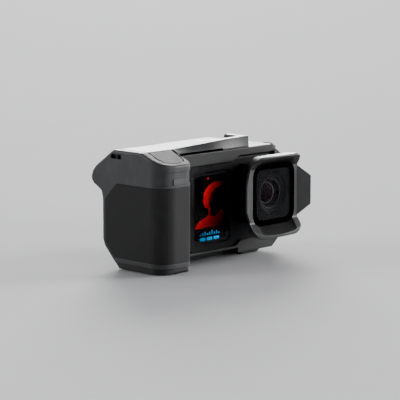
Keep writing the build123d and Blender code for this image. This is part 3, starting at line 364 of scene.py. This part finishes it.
def lens_barrel_black(name):
    """Lens cell: grey front, and black inside with fine turned baffle grooves round the lens axis."""
    material, tree, shader = new_material(name)
    where = object_coordinates(tree)
    x, y, z = components(tree, where)
    down = math_node(tree, "SUBTRACT", z, LENS_Z * MM)
    square_x = math_node(tree, "MULTIPLY", x, x)
    square_z = math_node(tree, "MULTIPLY", down, down)
    radius = math_node(tree, "SQRT", math_node(tree, "ADD", square_x, square_z))
    cloud = noise(tree, where, 4, 1.0)
    outer = remap(tree, radius, CELL_EDGE * MM, (CELL_EDGE + 0.2) * MM, 0.0, 1.0)
    inner_black = mix_colour(tree, cloud, colour(0.002, 0.002, 0.0025), colour(0.006, 0.005, 0.006))
    tree.links.new(mix_colour(tree, outer, inner_black, panel_grey(tree, cloud)), shader.inputs["Base Color"])
    tree.links.new(spread_noise(tree, cloud, 0.46, 0.58), shader.inputs["Roughness"])
    shader.inputs["Specular IOR Level"].default_value = 0.05
    grooves = math_node(tree, "ADD", wave(tree, radius, BAFFLE_PITCH), wave(tree, y, BAFFLE_STEP))
    tree.links.new(bump(tree, grooves, 0.04, 0.8, soft_normal(tree, 0.15)), shader.inputs["Normal"])
    return material


def lens_panel(name):
    """Lens cover frame: near-black rim, partly its own black and partly painted shadow of the gap at the
    hood's bore, round a recessed dark grey satin floor.
    """
    material, tree, shader = new_material(name)
    where = object_coordinates(tree)
    depth = components(tree, where)[1]
    floor = remap(tree, depth, (PANEL_FRONT + 0.5) * MM, (PANEL_FRONT + 0.7) * MM, 0.0, 1.0)
    cloud = noise(tree, where, 8, 1.0)
    # Near-black rim: partly the rim's own black, partly painted shadow in the gap against the hood.
    black = mix_colour(tree, cloud, colour(0.0015, 0.0015, 0.0015), colour(0.003, 0.003, 0.003))
    tree.links.new(mix_colour(tree, floor, black, panel_grey(tree, cloud)), shader.inputs["Base Color"])
    tree.links.new(remap(tree, floor, 0.0, 1.0, 0.40, 0.62), shader.inputs["Roughness"])
    shader.inputs["Specular IOR Level"].default_value = 0.0
    fine = noise(tree, where, 1.2, 2.0)
    tree.links.new(bump(tree, fine, 0.006, 1.0, soft_normal(tree, 0.2)), shader.inputs["Normal"])
    return material


def lit_picture(name, bright, dim, power, centre, lean, span):
    """Screen picture that fades from bright to dark across its width, with a woven grain."""
    material, tree, shader = new_material(name)
    where = object_coordinates(tree)
    shift = vector_node(tree, "SUBTRACT", where, (centre[0] * MM, 0, centre[1] * MM))
    along = dot_product(tree, shift, (math.cos(lean), 0, math.sin(lean)))
    ragged = math_node(tree, "SUBTRACT", noise(tree, where, 1.6, 4.0, 0.7), 0.5)
    along = math_node(tree, "ADD", along, math_node(tree, "MULTIPLY", ragged, 6 * MM))
    fade = remap(tree, along, span[0] * MM, span[1] * MM, 0.0, 1.0)
    grain = remap(tree, noise(tree, where, 0.9, 4.0, 0.75), 0.36, 0.64, 0.35, 1.15)
    level = math_node(tree, "MULTIPLY", math_node(tree, "POWER", fade, 1.6), grain)
    tree.links.new(mix_colour(tree, fade, colour(*dim), colour(*bright)), shader.inputs["Emission Color"])
    tree.links.new(math_node(tree, "MULTIPLY", level, power), shader.inputs["Emission Strength"])
    shader.inputs["Base Color"].default_value = colour(0.003, 0.002, 0.002)
    shader.inputs["Specular IOR Level"].default_value = 0.0
    tree.links.new(remap(tree, grain, 0.35, 1.15, 0.45, 0.6), shader.inputs["Roughness"])
    return material


def plastic(*base, rough, **options):
    """Table entry for a moulded plastic."""
    return moulded, dict(base=base, rough=rough, **options)


SLOT_LOOKS = {
    "cage_plastic": plastic(0.014, 0.0142, 0.015, rough=0.46),
    "grip_plastic": plastic(0.046, 0.0465, 0.048, rough=0.44),
    "base_plastic": plastic(0.014, 0.014, 0.015, rough=0.52),
    "bar_plastic": plastic(0.044, 0.0445, 0.046, rough=0.42),
    # The hood plastic gets painted shade on its faces that look towards the lens axis.
    "hood_plastic": plastic(0.045, 0.045, 0.046, rough=0.42, black_inside=True),
    "key_plastic": plastic(0.058, 0.052, 0.053, rough=0.50),
    "camera_plastic": plastic(0.006, 0.006, 0.0065, rough=0.52, specular=0.22),
    "button_plastic": plastic(0.070, 0.070, 0.072, rough=0.40),
    "grip_rubber": (rubber, dict(base=(0.019, 0.019, 0.020), rough=0.62)),
    "seal_rubber": (rubber, dict(base=(0.008, 0.008, 0.009), rough=0.65, pitch=1.6, height=0.02)),
    "gloss_black": (polished, dict(base=(0.006, 0.006, 0.007), rough=0.12, coat=0.5)),
    "display": (polished, dict(base=(0.0015, 0.0015, 0.002), rough=0.5, coat=0.0, specular=0.0)),
    "cell_wrap": (polished, dict(base=(0.04, 0.04, 0.045), rough=0.3, coat=0.1)),
    "screen_glass": (clear_glass, {}),
    "lens_glass": (lens_coating, {}),
    "lens_metal": (lens_barrel_black, {}),
    "steel": (metal, dict(base=(0.10, 0.10, 0.105), rough=0.34)),
    "port_metal": (metal, dict(base=(0.55, 0.55, 0.57), rough=0.2)),
    "insert_metal": (metal, dict(base=(0.14, 0.14, 0.14), rough=0.34)),
    "heat_metal": (metal, dict(base=(0.6, 0.6, 0.62), rough=0.4)),
    "board": (circuit_board, {}),
}


def dress_nodes():
    """Gives every carried-over node the material of its slot in the record."""
    looks = {slot: maker(slot, **settings) for slot, (maker, settings) in SLOT_LOOKS.items()}
    slots = {part["node"]: part["material_slot"] for part in frame["record"]["subparts"]}
    for name, item in NODES.items():
        item.data.materials.clear()
        item.data.materials.append(looks[slots[name]])
    NODES["lens_cover_frame"].data.materials[0] = lens_panel("lens_panel")


# Added pieces
def place(name, mesh, material):
    """Puts a new piece in the scene, fixed to the root body."""
    item = bpy.data.objects.new(name, mesh)
    bpy.context.scene.collection.objects.link(item)
    mesh.materials.append(material)
    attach(item, ROOT_BODY)


def smooth_loop(points, steps=8):
    """Closed smooth curve through a few (u, v) points."""
    count = len(points)
    loop = []
    for index in range(count):
        a, b, c, d = (Vector(points[(index + k - 1) % count]) for k in range(4))
        for step in range(steps):
            t = step / steps
            loop.append(0.5 * ((2 * b) + (c - a) * t + (2 * a - 5 * b + 4 * c - d) * t * t
                               + (3 * b - a - 3 * c + d) * t ** 3))
    return loop


def rounded_box(u0, u1, v0, v1, radius, steps=5):
    """Closed rounded rectangle."""
    corners = ((u1 - radius, v1 - radius, 0), (u0 + radius, v1 - radius, 90),
               (u0 + radius, v0 + radius, 180), (u1 - radius, v0 + radius, 270))
    loop = []
    for centre_u, centre_v, start in corners:
        for step in range(steps + 1):
            angle = math.radians(start + 90 * step / steps)
            loop.append(Vector((centre_u + radius * math.cos(angle), centre_v + radius * math.sin(angle))))
    return loop


def slab(name, loops, material, setback=0.0):
    """Thin picture piece cut from XZ outlines, with its face setback millimetres behind the picture plane."""
    mesh = bpy.data.meshes.new(name)
    build = bmesh.new()
    for loop in loops:
        ends = []
        for y in (PICTURE_FRONT + setback, PICTURE_BACK):
            ends.append([build.verts.new((u * MM, y * MM, v * MM)) for u, v in loop])
        build.faces.new(ends[0])
        build.faces.new(ends[1][::-1])
        for index in range(len(loop)):
            following = (index + 1) % len(loop)
            build.faces.new((ends[0][following], ends[0][index], ends[1][index], ends[1][following]))
    bmesh.ops.recalc_face_normals(build, faces=build.faces)
    bmesh.ops.triangulate(build, faces=[face for face in build.faces if len(face.verts) > 4])
    build.to_mesh(mesh)
    build.free()
    place(name, mesh, material)


RED = (0.66, 0.024, 0.014)
DEEP_RED = (0.35, 0.004, 0.002)
HEAD = [(-25.2, 43.0), (-29.0, 43.9), (-33.0, 43.5), (-36.8, 41.7), (-39.3, 39.2), (-40.1, 37.0),
        (-39.6, 35.9), (-40.9, 34.3), (-39.8, 33.7), (-40.0, 32.6), (-39.2, 31.6), (-38.9, 30.4),
        (-37.0, 29.9), (-36.2, 28.2), (-36.9, 25.6), (-38.4, 24.2), (-32.0, 23.0), (-26.0, 25.0),
        (-25.2, 33.0), (-24.9, 38.0)]
FACE_LIGHT = [(-25.4, 43.1), (-29.0, 43.8), (-33.0, 43.4), (-36.7, 41.6), (-39.2, 39.1), (-40.0, 37.0),
              (-39.5, 35.9), (-40.8, 34.3), (-39.7, 33.7), (-39.9, 32.6), (-39.1, 31.6), (-38.8, 30.4),
              (-36.9, 29.8), (-36.1, 28.2), (-36.8, 25.6), (-38.3, 24.2), (-35.7, 24.6), (-34.4, 28.0),
              (-35.2, 31.0), (-35.8, 33.2), (-34.6, 36.6), (-32.4, 39.0), (-29.4, 40.4), (-25.8, 41.2)]
CHEEK = [(-36.9, 38.6), (-34.0, 39.0), (-31.8, 37.4), (-32.2, 34.4), (-34.0, 32.4), (-36.2, 33.6)]
SHOULDERS = [(-46.0, 19.2), (-44.6, 22.2), (-41.5, 24.0), (-38.0, 24.8), (-35.6, 25.9), (-31.0, 24.9),
             (-27.8, 26.8), (-24.5, 28.2), (-24.2, 23.6), (-24.3, 19.2), (-30.0, 18.8), (-38.0, 19.4)]
HEAD_MIDDLE = (-33.0, 36.0)


def make_figure():
    """Generic red-lit figure in profile."""
    lean = math.radians(158)
    dark = lit_picture("picture_head", DEEP_RED, (0.05, 0.001, 0.001), 0.5, HEAD_MIDDLE, lean, (-4.0, 6.0))
    slab("screen_head", [smooth_loop(HEAD)], dark, 0.01)
    lit = lit_picture("picture_rim", RED, DEEP_RED, 1.6, HEAD_MIDDLE, lean, (-7.5, 7.5))
    slab("screen_face_light", [smooth_loop(FACE_LIGHT)], lit)
    warm = lit_picture("picture_cheek", DEEP_RED, (0.1, 0.001, 0.001), 1.2, (-34.0, 36.0),
                       math.radians(165), (-3.0, 3.0))
    slab("screen_cheek", [smooth_loop(CHEEK)], warm, 0.004)
    cloth = lit_picture("picture_shoulders", RED, DEEP_RED, 1.0, (-35.0, 23.0), math.radians(150),
                        (-12.0, 9.0))
    slab("screen_shoulders", [smooth_loop(SHOULDERS)], cloth, -0.003)


METER_LEFT, METER_BOTTOM, METER_PITCH, METER_WIDTH = -42.6, 15.0, 1.8, 0.7
METER_HEIGHTS = (0.9, 1.5, 2.1, 1.2, 1.8, 2.4, 1.4, 2.0, 1.0)
CHARGE_LEFT, CHARGE_BOTTOM, CHARGE_TOP = -42.8, 12.1, 13.9
CHARGE_PITCH, CHARGE_WIDTH, CHARGE_COUNT = 5.4, 4.3, 3


def make_status_marks():
    """Record dot, level meter and charge bars."""
    glow = lit_picture("picture_dot", (1.0, 0.02, 0.02), (0.8, 0.01, 0.01), 1.6, (-36.4, 46.1), 0.0,
                       (-2.0, 0.0))
    slab("screen_record_dot", [rounded_box(-37.0, -35.8, 45.5, 46.7, 0.58)], glow)
    blue = lit_picture("picture_bars", (0.01, 0.30, 0.62), (0.01, 0.20, 0.45), 1.7, (-35.0, 14.0), 0.0,
                       (-30.0, 2.0))
    meter = []
    for index, height in enumerate(METER_HEIGHTS):
        left = METER_LEFT + index * METER_PITCH
        meter.append(rounded_box(left, left + METER_WIDTH, METER_BOTTOM, METER_BOTTOM + height, 0.3, 3))
    slab("screen_level_meter", meter, blue)
    charge = []
    for index in range(CHARGE_COUNT):
        left = CHARGE_LEFT + index * CHARGE_PITCH
        charge.append(rounded_box(left, left + CHARGE_WIDTH, CHARGE_BOTTOM, CHARGE_TOP, 0.5, 3))
    slab("screen_charge_bars", charge, blue)


THREAD_PITCH, THREAD_TURNS, THREAD_START = 1.27, 2.9, 0.47
THREAD_ROOT, THREAD_CREST, THREAD_HALF = 3.20, 2.72, 0.42


def make_thread(sides=36):
    """Ridge of the tripod thread inside its metal insert."""
    total = int(THREAD_TURNS * sides)
    vertices = []
    for step in range(total + 1):
        angle = 2 * math.pi * step / sides
        z = THREAD_START + THREAD_PITCH * step / sides
        section = ((THREAD_ROOT, z - THREAD_HALF), (THREAD_CREST, z), (THREAD_ROOT, z + THREAD_HALF))
        for radius, height in section:
            vertices.append((radius * math.cos(angle) * MM, radius * math.sin(angle) * MM, height * MM))
    faces = [(0, 1, 2), (3 * total + 2, 3 * total + 1, 3 * total)]
    for step in range(total):
        for side in range(3):
            a, b = 3 * step + side, 3 * step + (side + 1) % 3
            faces.append((a, a + 3, b + 3, b))
    mesh = bpy.data.meshes.new("tripod_thread")
    mesh.from_pydata(vertices, [], faces)
    place("tripod_thread", mesh, metal("thread_metal", (0.14, 0.14, 0.14), 0.3))


# Lens rings: each has its look and a closed (radius, y) section that is turned about the lens axis
LENS_RINGS = {
    "front_retainer": ("black", [(7.95, -24.32), (8.35, -24.42), (8.6, -24.15), (7.95, -24.15)]),
    "inner_retainer": ("black", [(6.3, -20.3), (6.6, -20.5), (7.0, -20.3), (7.0, -20.12), (6.3, -20.12)]),
    # The grey rings here are painted glints round the pupil.
    "second_retainer": ("grey", [(5.1, -20.35), (5.35, -20.5), (5.7, -20.3), (5.7, -20.12), (5.1, -20.12)]),
    "iris_plate": ("black", [(1.9, -15.2), (4.9, -15.05), (4.9, -14.8), (1.9, -14.9)]),
    "iris_edge": ("grey", [(1.3, -15.25), (1.6, -15.45), (1.95, -15.35), (1.95, -15.2), (1.3, -15.1)]),
}


def turned_ring(name, section, material, sides=96):
    """Smooth ring turned about the lens axis."""
    count = len(section)
    vertices = []
    faces = []
    for step in range(sides):
        angle = 2 * math.pi * step / sides
        following = (step + 1) % sides
        for radius, y in section:
            across, height = radius * math.cos(angle), LENS_Z + radius * math.sin(angle)
            vertices.append((across * MM, y * MM, height * MM))
        for corner in range(count):
            beside = (corner + 1) % count
            faces.append((step * count + corner, step * count + beside,
                          following * count + beside, following * count + corner))
    mesh = bpy.data.meshes.new(name)
    mesh.from_pydata(vertices, [], faces)
    mesh.polygons.foreach_set("use_smooth", [True] * len(faces))
    build = bmesh.new()
    build.from_mesh(mesh)
    bmesh.ops.recalc_face_normals(build, faces=build.faces)
    build.to_mesh(mesh)
    build.free()
    place(name, mesh, material)


def make_lens_rings():
    """Retaining rings and the iris seen through the front element; the light grey rings are painted glints.
    """
    looks = {"black": moulded("ring_black", (0.006, 0.006, 0.006), 0.30),
             # Light grey paints glints on the second retainer and the iris edge.
             "grey": moulded("ring_grey_painted_glint", (0.30, 0.26, 0.28), 0.22)}
    for name, (look, section) in LENS_RINGS.items():
        turned_ring(name, section, looks[look])


# Studio
def make_floor():
    """Wide pale floor."""
    mesh = bpy.data.meshes.new("floor")
    corners = [(-FLOOR_REACH_M, -FLOOR_REACH_M, 0), (FLOOR_REACH_M, -FLOOR_REACH_M, 0),
               (FLOOR_REACH_M, FLOOR_REACH_M, 0), (-FLOOR_REACH_M, FLOOR_REACH_M, 0)]
    mesh.from_pydata(corners, [], [(0, 1, 2, 3)])
    floor = bpy.data.objects.new("floor", mesh)
    bpy.context.scene.collection.objects.link(floor)
    material, tree, shader = new_material("floor")
    cloud = noise(tree, object_coordinates(tree), 50, 3.0)
    tree.links.new(mix_colour(tree, cloud, colour(0.50, 0.50, 0.51), colour(0.53, 0.53, 0.54)),
                   shader.inputs["Base Color"])
    shader.inputs["Roughness"].default_value = 0.8
    mesh.materials.append(material)


def make_sky():
    world = bpy.data.worlds.new("world")
    world.use_nodes = True
    background = world.node_tree.nodes["Background"]
    background.inputs[0].default_value = colour(*SKY_COLOUR)
    background.inputs[1].default_value = SKY_STRENGTH
    bpy.context.scene.world = world


def soft_light(name, source, strength, spread):
    """Far soft light that shines from the source direction, spread degrees wide."""
    data = bpy.data.lights.new(name, "SUN")
    data.energy = strength
    data.angle = math.radians(spread)
    data.cycles.use_multiple_importance_sampling = False
    light = bpy.data.objects.new(name, data)
    light.location = source
    light.rotation_mode = "QUATERNION"
    light.rotation_quaternion = (-Vector(source)).to_track_quat("-Z", "Y")
    bpy.context.scene.collection.objects.link(light)


make_camera()
dress_nodes()
make_figure()
make_status_marks()
make_thread()
make_lens_rings()
make_floor()
make_sky()
for light_name, (source, strength, spread) in LIGHTS.items():
    soft_light(light_name, source, strength, spread)
bpy.context.scene.view_settings.view_transform = "AgX"
bpy.context.scene.view_settings.look = "AgX - Medium High Contrast"
